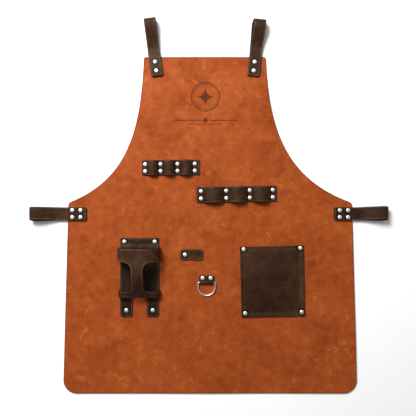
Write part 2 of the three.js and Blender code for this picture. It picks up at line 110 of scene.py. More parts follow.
def laid(local, origin, right):
    """Local x, y, z put into the shared frame: x runs along the direction right, y square to its left."""
    local = np.asarray(local, float)
    turn = np.array([[right[0], right[1]], [-right[1], right[0]]])
    return np.concatenate([local[..., :2] @ turn + origin[:2], local[..., 2:]], -1)


# ---------------------------------------------------------------- curves and grids


def smooth(t):
    """0 up to 0, 1 from 1 on, and 3t^2 - 2t^3 between."""
    t = np.clip(t, 0, 1)
    return t * t * (3 - 2 * t)


def stations(start, stop, step):
    """Even steps from start to stop, each at most a step long."""
    return np.linspace(start, stop, int(math.ceil((stop - start) / step)) + 1)


def arc(centre, radius, start, stop, count):
    """Points on an arc, from one angle to the other in degrees."""
    a = np.radians(np.linspace(start, stop, count))
    return np.stack([centre[0] + radius * np.cos(a), centre[1] + radius * np.sin(a)], -1)


def cubic(a, b, c, d, t):
    """A cubic curve at the shares t of it: its four points weighted by the products of t and 1 - t."""
    t = t[:, None]
    a, b, c, d = (np.asarray(p, float) for p in (a, b, c, d))
    return a * (1 - t) ** 3 + 3 * b * t * (1 - t) ** 2 + 3 * c * t**2 * (1 - t) + d * t**3


def run_length(line):
    """Distance along a line of points, from its start to each point."""
    return np.concatenate([[0], np.cumsum(np.linalg.norm(np.diff(line, axis=0), axis=1))])


def evened(line, step=0.5, soften=0.0):
    """The line at even steps. Softened, each point is the mean of those within that distance, ends kept."""
    far = run_length(line)
    at = stations(0, far[-1], step)
    even = np.stack([np.interp(at, far, line[:, k]) for k in range(line.shape[1])], -1)
    reach = int(soften / step)
    if reach:
        before = 2 * even[0] - even[reach:0:-1]
        after = 2 * even[-1] - even[-2 : -reach - 2 : -1]
        padded = np.concatenate([before, even, after])
        window = np.ones(2 * reach + 1) / (2 * reach + 1)
        even = np.stack([np.convolve(padded[:, k], window, "valid") for k in range(line.shape[1])], -1)
    return even


def at_length(line, s):
    """The points of a line at the distances s along it, each coordinate read between its neighbours."""
    far = run_length(line)
    return np.stack([np.interp(s, far, line[:, k]) for k in range(line.shape[1])], -1)


def rounded(s, v, length, half, radius):
    """A strip's corners drawn in to arcs. Within a corner's square, with p and q from 0 inside to 1 at the
    corner, p goes to p sqrt(1 - q^2 / 2) and q to q sqrt(1 - p^2 / 2), so the square fills a quarter disc."""
    p = np.clip((np.abs(s - length / 2) - length / 2 + radius) / radius, 0, 1)
    q = np.clip((np.abs(v) - half + radius) / radius, 0, 1)
    s = s - np.sign(s - length / 2) * radius * (p - p * np.sqrt(1 - q * q / 2))
    v = v - np.sign(v) * radius * (q - q * np.sqrt(1 - p * p / 2))
    return s, v


def quads(rows, columns, first=0, round_columns=False):
    """The squares of a grid of numbered points; round_columns joins the last column to the first."""
    i = np.arange(rows - 1)[:, None]
    j = np.arange(columns if round_columns else columns - 1)[None, :]
    k = (j + 1) % columns
    here, above = i * columns, (i + 1) * columns
    square = np.stack(np.broadcast_arrays(here + j, here + k, above + k, above + j), -1)
    return square.reshape(-1, 4) + first


def pressed(points, places, depth=0.3, width=6.5):
    """Leather pulled down round its rivets, by a depth that falls off as a bell curve from each one."""
    if len(places):
        gap = np.linalg.norm(points[..., None, :2] - places, axis=-1).min(-1)
        points[..., 2] -= depth * np.exp(-((gap / width) ** 2))
    return points


# ---------------------------------------------------------------- meshes


def mesh_object(name, points, faces, flat=None):
    """Points in millimetres and their faces as an object at the origin. Points that fall on each other are
    joined, and flat, where each point lies on the cut hide, becomes the map named cut, in metres."""
    mesh = bpy.data.meshes.new(name)
    mesh.from_pydata((points.reshape(-1, 3) * MM).tolist(), [], faces.tolist())
    if flat is not None:
        corner = np.empty(len(mesh.loops), np.int32)
        mesh.loops.foreach_get("vertex_index", corner)
        layer = mesh.uv_layers.new(name="cut")
        layer.data.foreach_set("uv", (flat.reshape(-1, 2)[corner] * MM).astype(np.float32).ravel())
    form = bmesh.new()
    form.from_mesh(mesh)
    bmesh.ops.remove_doubles(form, verts=form.verts, dist=1e-6)
    form.to_mesh(mesh)
    form.free()
    mesh.polygons.foreach_set("use_smooth", np.ones(len(mesh.polygons), bool))
    mesh.update()
    piece = bpy.data.objects.new(name, mesh)
    bpy.context.scene.collection.objects.link(piece)
    return piece


def mesh_points(mesh):
    """The points of a mesh, in millimetres."""
    co = np.empty(len(mesh.vertices) * 3, np.float32)
    mesh.vertices.foreach_get("co", co)
    return co.reshape(-1, 3).astype(float) / MM


def rim_of(mesh):
    """The two ends of every edge that only one face uses."""
    used = np.empty(len(mesh.loops), np.int32)
    mesh.loops.foreach_get("edge_index", used)
    ends = np.empty(len(mesh.edges) * 2, np.int32)
    mesh.edges.foreach_get("vertices", ends)
    ends = ends.reshape(-1, 2)[np.bincount(used, minlength=len(mesh.edges)) == 1]
    points = mesh_points(mesh)
    return points[ends[:, 0]], points[ends[:, 1]]


def from_rim(points, start, end):
    """Each point's distance to the nearest of the rim's straight pieces, with its foot kept on the piece."""
    run = end - start
    square = (run * run).sum(-1)
    found = []
    for part in np.array_split(points, max(1, len(points) * len(start) // 2_000_000)):
        off = part[:, None] - start
        t = np.clip((off * run).sum(-1) / square, 0, 1)[..., None]
        found.append(np.linalg.norm(off - t * run, axis=-1).min(-1))
    return np.concatenate(found)


def note(mesh, name, values):
    """Keeps a number for each point of a mesh, for its finish to read."""
    mesh.attributes.new(name, "FLOAT", "POINT").data.foreach_set("value", values.astype(np.float32))


def leather_piece(name, points, faces, flat, thickness, finish, places=(), edge=0.55):
    """A piece of leather round its middle surface: a wall of its thickness with rounded edges. It keeps each
    point's distance to the cut edge and to the nearest rivet, for the finish. finish is the grain side,
    the flesh side and the cut edge."""
    piece = mesh_object(name, points, faces, flat)
    mesh = piece.data
    for material in finish:
        mesh.materials.append(material)
    at = mesh_points(mesh)
    note(mesh, "from_edge", np.minimum(from_rim(at, *rim_of(mesh)), FAR_OFF))
    gap = np.full(len(at), FAR_OFF)
    if len(places):
        gap = np.minimum(gap, np.linalg.norm(at[:, None, :2] - places, axis=-1).min(-1))
    note(mesh, "from_rivet", gap)
    wall = piece.modifiers.new("thickness", "SOLIDIFY")
    wall.thickness, wall.offset = thickness * MM, 0
    wall.material_offset, wall.material_offset_rim = 1, 2
    turn = piece.modifiers.new("rounded edges", "BEVEL")
    turn.width, turn.segments, turn.limit_method = edge * MM, 3, "ANGLE"
    turn.angle_limit, turn.use_clamp_overlap = math.radians(50), False
    return piece


def along_strip(line, width, radius, step=1.4, across=1.5):
    """A strip of leather on a middle line (run, height): distance along it, s, by distance across it, v, with
    its corners rounded. Gives local x along the run, y across it and z up, and the flat place (s, v)."""
    length, half = run_length(line)[-1], width / 2
    s, v = np.meshgrid(stations(0, length, step), stations(-half, half, across), indexing="ij")
    s, v = rounded(s, v, length, half, radius)
    run = at_length(line, s)
    points = np.stack([run[..., 0], v, run[..., 1]], -1)
    return points, np.stack([s, v], -1)


def turned_up(faces):
    """The same faces seen from the other side."""
    return faces[:, ::-1]


# ---------------------------------------------------------------- finishes


def tint(red, green, blue):
    """A colour given in the usual 0 to 255 steps, as light amounts."""
    return (*[c / 3294.6 if c <= 10 else ((c / 255 + 0.055) / 1.055) ** 2.4 for c in (red, green, blue)], 1)


class Finish:
    """A material being mixed: short ways to add a node, wire it and set its numbers."""

    def __init__(self, name):
        self.material = bpy.data.materials.new(name)
        self.material.use_nodes = True
        self.tree = self.material.node_tree
        self.tree.nodes.clear()

    def node(self, kind, sockets=None, **settings):
        """A new node: a socket given another node's output is wired to it, any other value is set."""
        made = self.tree.nodes.new("ShaderNode" + kind)
        for key, value in settings.items():
            setattr(made, key, value)
        for key, value in (sockets or {}).items():
            if isinstance(value, bpy.types.NodeSocket):
                self.tree.links.new(value, made.inputs[key])
            else:
                made.inputs[key].default_value = value
        return made

    def math(self, operation, *values):
        """One step of arithmetic."""
        return self.node("Math", dict(enumerate(values)), operation=operation).outputs[0]

    def noise(self, place, scale, detail=3.0, roughness=0.55, distortion=0.0):
        """Cloudy noise from 0 to 1, with scale waves to a metre."""
        sockets = {"Vector": place, "Scale": scale, "Detail": detail, "Roughness": roughness}
        sockets["Distortion"] = distortion
        return self.node("TexNoise", sockets).outputs["Fac"]

    def fade(self, value, start, stop, low=0.0, high=1.0):
        """low up to start, high from stop on, with a soft run between."""
        sockets = {0: value, 1: start, 2: stop, 3: low, 4: high}
        return self.node("MapRange", sockets, interpolation_type="SMOOTHSTEP").outputs[0]

    def mix(self, share, a, b, blend="MIX"):
        """Colour a with a share of colour b over it."""
        return self.node("Mix", {0: share, 6: a, 7: b}, data_type="RGBA", blend_type=blend).outputs[2]

    def ramp(self, value, *stops):
        """A scale of colours: each stop is its place on the scale and its colour."""
        made = self.node("ValToRGB", {0: value})
        elements = made.color_ramp.elements
        while len(elements) < len(stops):
            elements.new(0.5)
        for element, (place, colour) in zip(elements, stops):
            element.position, element.color = place, colour
        return made.outputs[0]

    def number(self, name):
        """A number that each point of the mesh keeps."""
        return self.node("Attribute", attribute_name=name).outputs["Fac"]

    def hide_place(self):
        """Where a point lies on the hide it was cut from, in metres."""
        return self.node("UVMap", uv_map="cut").outputs[0]

    def bump(self, height, distance, strength=1.0, below=None):
        """Relief from a height, laid over the relief below it."""
        sockets = {"Height": height, "Distance": distance, "Strength": strength}
        if below is not None:
            sockets["Normal"] = below
        return self.node("Bump", sockets).outputs[0]

    def surface(self, sockets):
        """The finished material, with these sockets of its shader set or wired."""
        shader = self.node("BsdfPrincipled", sockets)
        self.node("OutputMaterial", {0: shader.outputs[0]})
        return self.material


def mottled(f, place, tones, clouds, seed=0.0, spread=0.1):
    """The colour of a drum-dyed hide: three sizes of noise added, clouds, patches and flecks, and read on a
    scale of tones from deep to light."""
    moved = f.node("Mapping", {"Vector": place, "Location": (seed, seed * 0.7, 0)}).outputs[0]
    large = f.noise(moved, clouds, 4, 0.6, 0.6)
    patch = f.noise(moved, clouds * 4.6, 5, 0.62, 0.3)
    fleck = f.noise(moved, clouds * 30, 3, 0.6)
    small = f.math("MULTIPLY_ADD", patch, 0.38, f.math("MULTIPLY", fleck, 0.2))
    mixed = f.math("MULTIPLY_ADD", large, 0.42, small)
    stops = np.linspace(0.5 - spread, 0.5 + spread, len(tones))
    return f.ramp(mixed, *[(float(p), tint(*t)) for p, t in zip(stops, tones)]), mixed, fleck


def grain(f, place, cell, depth, swell=0.0004):
    """The raised grain of leather: small cells with sunken borders, over a slow swell of the hide."""
    sockets = {"Vector": place, "Scale": 1 / cell, "Randomness": 0.9}
    cells = f.node("TexVoronoi", sockets, feature="DISTANCE_TO_EDGE").outputs["Distance"]
    cell_height = f.fade(cells, 0.0, 0.16)
    pores = f.noise(place, 1.6 / cell, 3, 0.6)
    height = f.math("MULTIPLY_ADD", cell_height, 0.6, f.math("MULTIPLY", pores, 0.7))
    slow = f.bump(f.noise(place, 22, 2, 0.45), swell * 8, 0.35)
    return f.bump(height, depth, 0.55, slow)


def burnt_mark(f, place, centre):
    """A plain ornament burnt into the bib: two rings round a pointed star, over a rule with a lozenge."""
    shift = (-centre[0] * MM, -centre[1] * MM, 0)
    moved = f.node("Mapping", {"Vector": place, "Location": shift}).outputs[0]
    millimetres = f.node("VectorMath", {0: moved, 3: 1 / MM}, operation="SCALE").outputs[0]
    split = f.node("SeparateXYZ", {0: millimetres})
    x, y = split.outputs[0], split.outputs[1]

    def within(value, limit, soft=0.35):
        """1 below the limit and 0 above it, with a soft edge."""
        return f.fade(value, limit - soft, limit + soft, 1.0, 0.0)

    def band(value, middle, half):
        """1 within a half width of the middle."""
        return within(f.math("ABSOLUTE", f.math("SUBTRACT", value, middle)), half)

    def star(a, b, size):
        """Inside where the roots of |a| and |b| add up to less than the root of the size."""
        roots = [f.math("SQRT", f.math("ABSOLUTE", v)) for v in (a, b)]
        return within(f.math("POWER", f.math("ADD", *roots), 2), size, 0.8)

    up = f.math("SUBTRACT", y, 14)
    far = f.math("SQRT", f.math("ADD", f.math("POWER", x, 2), f.math("POWER", up, 2)))
    lean_a = f.math("MULTIPLY", f.math("ADD", x, up), 0.7071)
    lean_b = f.math("MULTIPLY", f.math("SUBTRACT", x, up), 0.7071)
    side = f.math("ABSOLUTE", x)
    down = f.math("ABSOLUTE", f.math("ADD", y, 34))
    rule_length = f.math("MULTIPLY", within(side, 66), f.fade(side, 9, 10))
    rule = f.math("MULTIPLY", within(down, 0.9), rule_length)
    thin = f.math("MULTIPLY", band(y, -42, 0.55), within(side, 34))
    shapes = [
        band(far, 29, 1.0),
        band(far, 25.2, 0.45),
        star(x, up, 22),
        star(lean_a, lean_b, 12.5),
        rule,
        thin,
        within(f.math("ADD", side, down), 6),
    ]
    ink = shapes[0]
    for shape in shapes[1:]:
        ink = f.math("MAXIMUM", ink, shape)
    return ink


def apron_grain():
    """Cognac leather with a waxy pull-up: mottled, a little lighter towards the bib, darker at its cut
    edge, rubbed pale in a few places and marked on the bib."""
    f = Finish("cognac pull-up leather")
    place = f.hide_place()
    tones = [(118, 48, 14), (139, 61, 21), (152, 71, 28), (170, 87, 39)]
    colour, mixed, fleck = mottled(f, place, tones, 13, 0.0, 0.15)
    height = f.node("SeparateXYZ", {0: place}).outputs[1]
    toward_bib = f.fade(height, 0.0, 0.7)
    colour = f.mix(toward_bib, f.mix(1.0, colour, (0.96, 0.95, 0.93, 1), "MULTIPLY"), colour)
    rubbed = f.fade(f.noise(place, 34, 6, 0.7, 1.2), 0.56, 0.74)
    colour = f.mix(f.math("MULTIPLY", rubbed, 0.4), colour, tint(205, 120, 70))
    drawn_out = {"Vector": place, "Scale": (30, 240, 1), "Rotation": (0, 0, 0.5)}
    scratch = f.fade(f.noise(f.node("Mapping", drawn_out).outputs[0], 1.0, 4, 0.5), 0.66, 0.74)
    colour = f.mix(f.math("MULTIPLY", scratch, 0.22), colour, tint(214, 136, 84))
    edge = f.fade(f.number("from_edge"), 0.6, 3.2, 1.0, 0.0)
    colour = f.mix(f.math("MULTIPLY", edge, 0.62), colour, tint(104, 46, 20))
    ink = burnt_mark(f, place, (-9.5, 594))
    depth = f.math("MULTIPLY", ink, f.fade(fleck, 0.25, 0.5, 0.72, 0.93))
    colour = f.mix(depth, colour, tint(74, 32, 17))
    relief = grain(f, place, 0.0013, 0.00016)
    relief = f.bump(f.math("SUBTRACT", 1.0, ink), 0.00025, 0.7, relief)
    rough = f.fade(mixed, 0.35, 0.65, 0.7, 0.58)
    sockets = {"Base Color": colour, "Roughness": rough, "Normal": relief}
    return f.surface({**sockets, "Specular IOR Level": 0.14, "Specular Tint": (1, 0.8, 0.62, 1)})


def dark_grain(name, tones, clouds, seed=0.0, crease=1.9, rubbed_and_highlight_tone=(118, 92, 74), crease_highlight_share=0.55):
    """Dark waxed leather: mottled and rubbed lighter in patches, with a creased groove inside its cut edge
    whose line is painted lighter as a painted highlight, a dark band at the edge itself and painted shade in
    a dark ring round each rivet."""
    f = Finish(name)
    place = f.hide_place()
    colour, mixed, _ = mottled(f, place, tones, clouds, seed)
    rubbed = f.fade(f.noise(place, 85, 5, 0.7, 0.8), 0.55, 0.78)
    colour = f.mix(f.math("MULTIPLY", rubbed, 0.18), colour, tint(*rubbed_and_highlight_tone))
    in_from_edge = f.number("from_edge")
    # Painted highlight: the thin line along the crease is painted a lighter tone for the light its groove
    # wall catches; the groove itself is a real dent, made in the relief below.
    line = f.fade(f.math("ABSOLUTE", f.math("SUBTRACT", in_from_edge, crease)), 0.15, 0.95, 1.0, 0.0)
    uneven = f.fade(f.noise(place, 120, 3), 0.35, 0.65, 0.35, 1.0)
    painted_crease_highlight = f.math("MULTIPLY", f.math("MULTIPLY", line, uneven), crease_highlight_share)
    colour = f.mix(painted_crease_highlight, colour, tint(*rubbed_and_highlight_tone))
    edge = f.fade(in_from_edge, 0.3, 1.2, 1.0, 0.0)
    colour = f.mix(f.math("MULTIPLY", edge, 0.7), colour, tint(27, 18, 14))
    # Painted shade: the leather is darkened almost to black in a ring round each rivet, for the shade in the
    # dip the rivet presses.
    ring = f.fade(f.number("from_rivet"), RIVET_HEAD + 0.2, RIVET_HEAD + 6.5, 1.0, 0.0)
    colour = f.mix(f.math("MULTIPLY", ring, 0.9), colour, tint(11, 6, 4))
    relief = grain(f, place, 0.0011, 0.00014, 0.0003)
    groove = f.fade(f.math("ABSOLUTE", f.math("SUBTRACT", in_from_edge, crease - 0.5)), 0.0, 0.5)
    relief = f.bump(groove, 0.0003, 0.6, relief)
    rough = f.fade(mixed, 0.35, 0.65, 0.58, 0.44)
    sockets = {"Base Color": colour, "Roughness": rough, "Normal": relief}
    return f.surface({**sockets, "Specular IOR Level": 0.19, "Specular Tint": (1, 0.76, 0.58, 1)})


def flesh_side(name, tones):
    """The napped back of leather: soft blotches and fine fibres, quite without gloss."""
    f = Finish(name)
    place = f.hide_place()
    colour = mottled(f, place, tones, 18, 3.1)[0]
    drawn_out = f.node("Mapping", {"Vector": place, "Scale": (900, 2100, 1)}).outputs[0]
    fibres = f.noise(drawn_out, 1.0, 4, 0.7)
    colour = f.mix(f.fade(fibres, 0.3, 0.7, 0.0, 0.35), colour, tint(*tones[-1]))
    relief = f.bump(fibres, 0.0003, 0.8)
    sockets = {"Base Color": colour, "Roughness": 0.92, "Specular IOR Level": 0.12, "Normal": relief}
    return f.surface({**sockets, "Sheen Weight": 0.25, "Sheen Roughness": 0.5})


def cut_edge(name, deep, light):
    """A burnished cut edge: layers of fibre along it, sealed smooth with wax."""
    f = Finish(name)
    place = f.node("TexCoord").outputs["Object"]
    layers = f.noise(f.node("Mapping", {"Vector": place, "Scale": (160, 160, 1700)}).outputs[0], 1.0, 4, 0.6)
    colour = f.ramp(layers, (0.3, tint(*deep)), (0.7, tint(*light)))
    relief = f.bump(layers, 0.0002, 0.5)
    return f.surface({"Base Color": colour, "Roughness": 0.5, "Specular IOR Level": 0.4, "Normal": relief})


def polished_nickel(name, base, rough):
    """Nickel plate, polished, with hairline scratches and a faint dulling from handling."""
    f = Finish(name)
    place = f.node("TexCoord").outputs["Object"]
    hair = f.noise(f.node("Mapping", {"Vector": place, "Scale": (2600, 500, 900)}).outputs[0], 1.0, 3, 0.6)
    dull = f.noise(place, 260, 4, 0.6)
    colour = f.ramp(dull, (0.3, tint(*[int(c * 0.86) for c in base])), (0.65, tint(*base)))
    amount = f.math("ADD", f.fade(dull, 0.35, 0.7, rough, rough + 0.1), f.fade(hair, 0.62, 0.8, 0.0, 0.1))
    relief = f.bump(hair, 0.00002, 0.3)
    return f.surface({"Base Color": colour, "Metallic": 1.0, "Roughness": amount, "Normal": relief})


cognac = [
    apron_grain(),
    flesh_side("cognac flesh side", [(138, 88, 56), (160, 106, 70), (178, 126, 88)]),
    cut_edge("cognac cut edge", (84, 38, 18), (128, 66, 34)),
]
dark_flesh = flesh_side("dark flesh side", [(22, 14, 10), (31, 21, 16), (42, 30, 23)])
dark_edge = cut_edge("dark cut edge", (20, 12, 9), (38, 25, 18))
strap_tones = [(33, 16, 8), (43, 24, 12), (51, 30, 17), (62, 40, 25)]
strap_brown = [dark_grain("dark waxed strap leather", strap_tones, 30), dark_flesh, dark_edge]
deep_tones = [(27, 12, 5), (36, 19, 9), (43, 25, 14), (54, 34, 21)]
deep_brown = [dark_grain("deeper waxed strap leather", deep_tones, 30, 2.6), dark_flesh, dark_edge]
holder_tones = [(37, 20, 12), (49, 29, 18), (58, 37, 24), (73, 49, 34)]
holder_brown = [dark_grain("dark waxed holder leather", holder_tones, 26, 5.2), dark_flesh, dark_edge]
back_tones = [(19, 9, 5), (27, 14, 8), (34, 19, 12), (45, 28, 19)]
back_brown = [dark_grain("dark waxed holder back leather", back_tones, 26, 8.1), dark_flesh, dark_edge]
pocket_tones = [(35, 18, 10), (46, 26, 16), (55, 34, 21), (69, 46, 31)]
pocket_brown = [
    # The pocket's crease lies 7.5 mm in; (92, 68, 54) is the tone of its rubbed patches and of the painted
    # highlight on its crease line, at a share of 0.4.
    dark_grain("dark waxed pocket leather", pocket_tones, 7, 2.4, 7.5, (92, 68, 54), 0.4),
    dark_flesh,
    dark_edge,
]
rivet_nickel = polished_nickel("nickel rivet caps", (248, 245, 240), 0.42)
ring_nickel = polished_nickel("nickel ring wire", (236, 232, 224), 0.4)


# ---------------------------------------------------------------- the apron itself

panel_low, panel_high = corners_of("apron_panel")
panel_middle = (panel_low[0] + panel_high[0]) / 2
HEM_HALF, SHOULDER_HALF, BIB_HALF = 301.5, 291, 125  # half widths
SHOULDER_UP, PANEL_LONG = 391, 690  # heights above the hem
BIB_LEAN = 11  # how far the bib's middle stands to the left of the hem's


def apron_side(side):
    """One side of the apron's outline from the hem up: round corner, straight side, shoulder corner, armhole
    as a cubic curve, bib corner. side is 1 right, -1 left. Both sides have the same heights point for point,
    so that each pair of points ends one row of the hide."""
    round_corner = 27
    heights = np.array([0, 0.6, 1.5, 2.8, 4.6, 7, 10, 13.5, 18, 22.5])
    a = np.arccos(1 - heights / round_corner) - math.pi / 2
    corner_x = HEM_HALF - round_corner - 0.6 + round_corner * np.cos(a)
    corner = np.stack([corner_x, round_corner + round_corner * np.sin(a)], -1)
    edge = np.linspace((HEM_HALF - 0.7, round_corner), (SHOULDER_HALF + 0.2, SHOULDER_UP - 6), 96)
    t = np.linspace(0.014, 0.992, 118)
    shoulder_pull, bib_pull = (SHOULDER_HALF - 137, SHOULDER_UP + 50), (BIB_HALF + 6.4, PANEL_LONG - 136)
    arm = cubic((SHOULDER_HALF, SHOULDER_UP), shoulder_pull, bib_pull, (BIB_HALF, PANEL_LONG), t)
    lean = -BIB_LEAN * (0.6 * 3 * t * (1 - t) ** 2 + 3 * t**2 * (1 - t) + t**3)
    seven = np.linspace(0, 1, 7)
    shoulder = cubic(edge[-1], edge[-1] + (-0.1, 4), arm[0] + (3.0, -1.1), arm[0], seven)[1:-1]
    top_end = (BIB_HALF - 4.6, PANEL_LONG)
    top = cubic(arm[-1], arm[-1] + (-0.04, 2.6), (BIB_HALF - 2.2, PANEL_LONG), top_end, seven)[1:]
    line = np.concatenate([corner, edge, shoulder, arm, top])
    before = len(corner) + len(edge) + len(shoulder)
    shift = np.concatenate([np.zeros(before), lean, np.full(len(top), lean[-1])])
    return np.stack([side * line[:, 0] + shift, line[:, 1]], -1)


def hide_lift(x, y):
    """How far the leather stands off the table: slow waves, none where something is mounted or at a flex."""
    waves = (
        0.5
        + 0.22 * np.sin(x / 46 + 1.1 + 0.8 * np.sin(y / 83))
        + 0.2 * np.sin(y / 57 - 0.4 + 0.9 * np.sin(x / 71 + 2))
        + 0.1 * np.sin((x + y) / 31 + 0.7)
    )
    free = np.ones_like(x)
    for node in frame["nodes"]:
        if node != "apron_panel" and "rivet" not in node:
            low, high = corners_of(node)
            beside = np.maximum(0, np.maximum(low[0] - x, x - high[0]))
            beyond = np.maximum(0, np.maximum(low[1] - y, y - high[1]))
            free = np.minimum(free, smooth((np.hypot(beside, beyond) - 3) / 34))
    return waves * free


def build_apron():
    """The apron by rows: each pair of outline points of one height is joined by a row of points, close
    together near both ends, and the slow lift is added."""
    left, right = apron_side(-1), apron_side(1)
    width = (right - left)[:, :1]
    near = np.array([0, 1.0, 2.2])
    inner = 4 + (width - 8) * np.linspace(0, 1, 113)
    across = np.concatenate([near + 0 * width, inner, width - near[::-1]], 1)
    x = left[:, :1] + across
    y = np.broadcast_to(left[:, 1:], x.shape)
    flat = np.stack([x, y], -1)
    world = flat + np.array([panel_middle, panel_low[1]])
    z = panel_low[2] + LEATHER / 2 + hide_lift(world[..., 0], world[..., 1])
    points = np.concatenate([world, z[..., None]], -1)
    piece = leather_piece("apron_front", points, quads(*x.shape), flat, LEATHER, cognac, edge=0.5)
    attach(piece, "apron")
    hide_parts("apron_panel")


# ---------------------------------------------------------------- rivets


def build_rivet(node):
    """A double-cap rivet: a profile turned round its axis, with a domed cap pressed into the leather, a neck
    that is out of sight and a low cap on the back."""
    low, high = corners_of(node)
    top, neck, sides = high[2], 1.6, 28
    foot = top - 2.4 - 0.42
    rim = foot + 0.75
    dome = np.linspace(0, 1, 9)[1:] * math.pi / 2
    cap = np.stack([RIVET_HEAD * np.sin(dome) ** 0.92, rim + (top - rim) * np.cos(dome)], -1)
    under = [(RIVET_HEAD + 0.02, foot + 0.4), (RIVET_HEAD - 0.15, foot + 0.08), (RIVET_HEAD - 0.6, foot)]
    back = [(3.3, 0.7), (3.75, 0.5), (3.8, 0.2), (3.6, -0.02), (3.0, -0.1), (1.6, -0.14), (0, -0.15)]
    profile = np.concatenate([[(0, top)], cap, under, [(neck, foot), (neck, 0.7)], back])
    turn = np.radians(np.arange(sides) * 360 / sides)
    x, y = (low[:2] + high[:2]) / 2
    out, up = profile[:, :1], profile[:, 1:]
    points = np.stack([x + out * np.cos(turn), y + out * np.sin(turn), np.repeat(up, sides, 1)], -1)
    faces = turned_up(quads(len(profile), sides, round_columns=True))
    piece = mesh_object(node.replace("rivet", "stud"), points, faces)
    piece.data.materials.append(rivet_nickel)
    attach(piece, "apron")
    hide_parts(node)


# ---------------------------------------------------------------- straps at the neck and the waist

ON_PANEL = 7  # the flex line lies this far out from where a strap's own x starts
LOOP_HIGH = 21


def strap_line(on_apron, reach):
    """The strap's middle line from the side, run by height: the upper layer from its inner end, out past the
    edge, up to the top of the open loop, round a half circle and back underneath to the inner end."""
    upper, lower = LAYER + 1.5 * STRAP, LAYER + 0.5 * STRAP
    top, foot = LOOP_HIGH - STRAP / 2, STRAP / 2
    turn = (top - foot) / 2
    end = reach - STRAP / 2 - turn
    start = ON_PANEL + 6
    ease = (end - start) * 0.3
    forty = np.linspace(0, 1, 40)
    over = cubic((start, upper), (start + ease, upper), (end - ease, top), (end, top), forty)
    under = cubic((end, foot), (end - ease, foot), (start + ease, lower), (start, lower), forty)
    bend = arc((end, (top + foot) / 2), turn, 90, -90, 40)
    line = np.concatenate([[(-on_apron, upper)], over, bend[1:-1], under, [(-on_apron, lower)]])
    return evened(line, 0.5, 2.5)


def build_strap(name, finish, width, on_apron, reach, top_aside, foot_aside):
    """One strap folded into a loop, placed at its joint's pivot and turned to its axis: x runs outwards from
    the apron's edge. The open loop is
    a little twisted: its upper and lower layers are drawn aside towards the end, each by its own amount."""
    joint = joints[f"{name}_flex"]
    pivot, axis = np.array(joint["pos_m"]) / MM, joint["axis"]
    outward = unit((-axis[1], axis[0]))
    origin = pivot[:2] - ON_PANEL * outward
    line = strap_line(on_apron, reach)
    local, flat = along_strip(line, width, 3.0, 1.5, 1.5)
    run = flat[..., 0]
    end_of_loop = run.ravel()[np.argmax(local[..., 0])]
    bend_long = 29
    high = np.clip(0.5 + (end_of_loop - run) / bend_long, 0, 1)
    share = np.clip((local[..., 0] - 8) / (reach - 12), 0, 1)
    local[..., 1] += share * (foot_aside + (top_aside - foot_aside) * high)
    points = laid(local, origin, outward)
    places = rivet_places(name)
    upper = local[..., 2] > LAYER + STRAP
    near = upper & (local[..., 0] < 4)
    points[near] = pressed(points[near], places, 0.35)
    faces = turned_up(quads(*local.shape[:2]))
    flat = flat + np.array([reach * 3.1, 0])
    strap = leather_piece(f"{name}_strap", points, faces, flat, STRAP - 0.12, finish, places)
    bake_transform(strap)
    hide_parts(name, f"{name}_base")


# ---------------------------------------------------------------- tool strips


def strip_line(columns, rise, to_start, to_end):
    """The strip's middle line: flat at its rivet columns, and between two of them half an ellipse without
    its steep ends, lifted by the sine of its angle less that of 20 degrees."""
    foot, low = RIVET_HEAD + 1, math.radians(20)
    line = [np.array([[-to_start, 0]])]
    for a, b in zip(columns[:-1], columns[1:]):
        angle = np.linspace(low, math.pi - low, 40)
        half = (b - a) / 2 - foot
        x = (a + b) / 2 - half * np.cos(angle) / math.cos(low)
        line.append(np.stack([x, rise * (np.sin(angle) - math.sin(low)) / (1 - math.sin(low))], -1))
    line.append(np.array([[columns[-1] + to_end, 0]]))
    return evened(np.concatenate(line), 0.5, 1.6)


def build_tool_strip(name, width, rise, to_start, to_end):
    """A strip riveted down at four columns, each a pair of rivets, with an arch between two columns."""
    places = rivet_places(name)
    columns = (places[0::2] + places[1::2]) / 2
    right = unit(columns[-1] - columns[0])
    run = (columns - columns[0]) @ right
    line = strip_line(run, rise, to_start, to_end) + np.array([0, LAYER + STRAP / 2])
    local, flat = along_strip(line, width, 1.6, 1.3, 1.4)
    points = pressed(laid(local, columns[0], right), places, 0.22)
    faces = turned_up(quads(*local.shape[:2]))
    flat = flat + np.array([width * 7, 300])
    strip = leather_piece(f"{name}_leather", points, faces, flat, STRAP - 0.1, strap_brown, places)
    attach(strip, "apron")
    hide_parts(name)


# ---------------------------------------------------------------- pocket


def build_pocket():
    """The pocket's front: lifted at its mouth by 1 - |x|^4 across and 1 - down^4 from the mouth to its foot,
    flat on its border, and pressed down a little round its rivets."""
    places = rivet_places("pocket")
    right = unit(places[1] - places[0])
    up = np.array([-right[1], right[0]])
    centre = places.mean(0) - 2.0 * up
    width, height, border = 131.0, 145.8, 12.3
    s, v = np.meshgrid(stations(0, height, 1.6), stations(-width / 2, width / 2, 1.6), indexing="ij")
    s, v = rounded(s, v, height, width / 2, 1.2)
    x, y = v, s - height / 2
    across = np.clip(np.abs(x) / (width / 2 - border), 0, 1)
    down = np.clip((height / 2 - y) / (height - border), 0, 1)
    bulge = 7.5 * (1 - across**4) * (1 - down**4)
    local = np.stack([x, y, LAYER + 0.9 + bulge], -1)
    points = pressed(laid(local, centre, right), places, 0.25)
    flat = np.stack([x, y], -1)
    faces = quads(*x.shape)
    pocket = leather_piece("pocket_leather_front", points, faces, flat, 1.75, pocket_brown, places)
    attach(pocket, "apron")
    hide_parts("pocket_front")


# ---------------------------------------------------------------- bottle holder


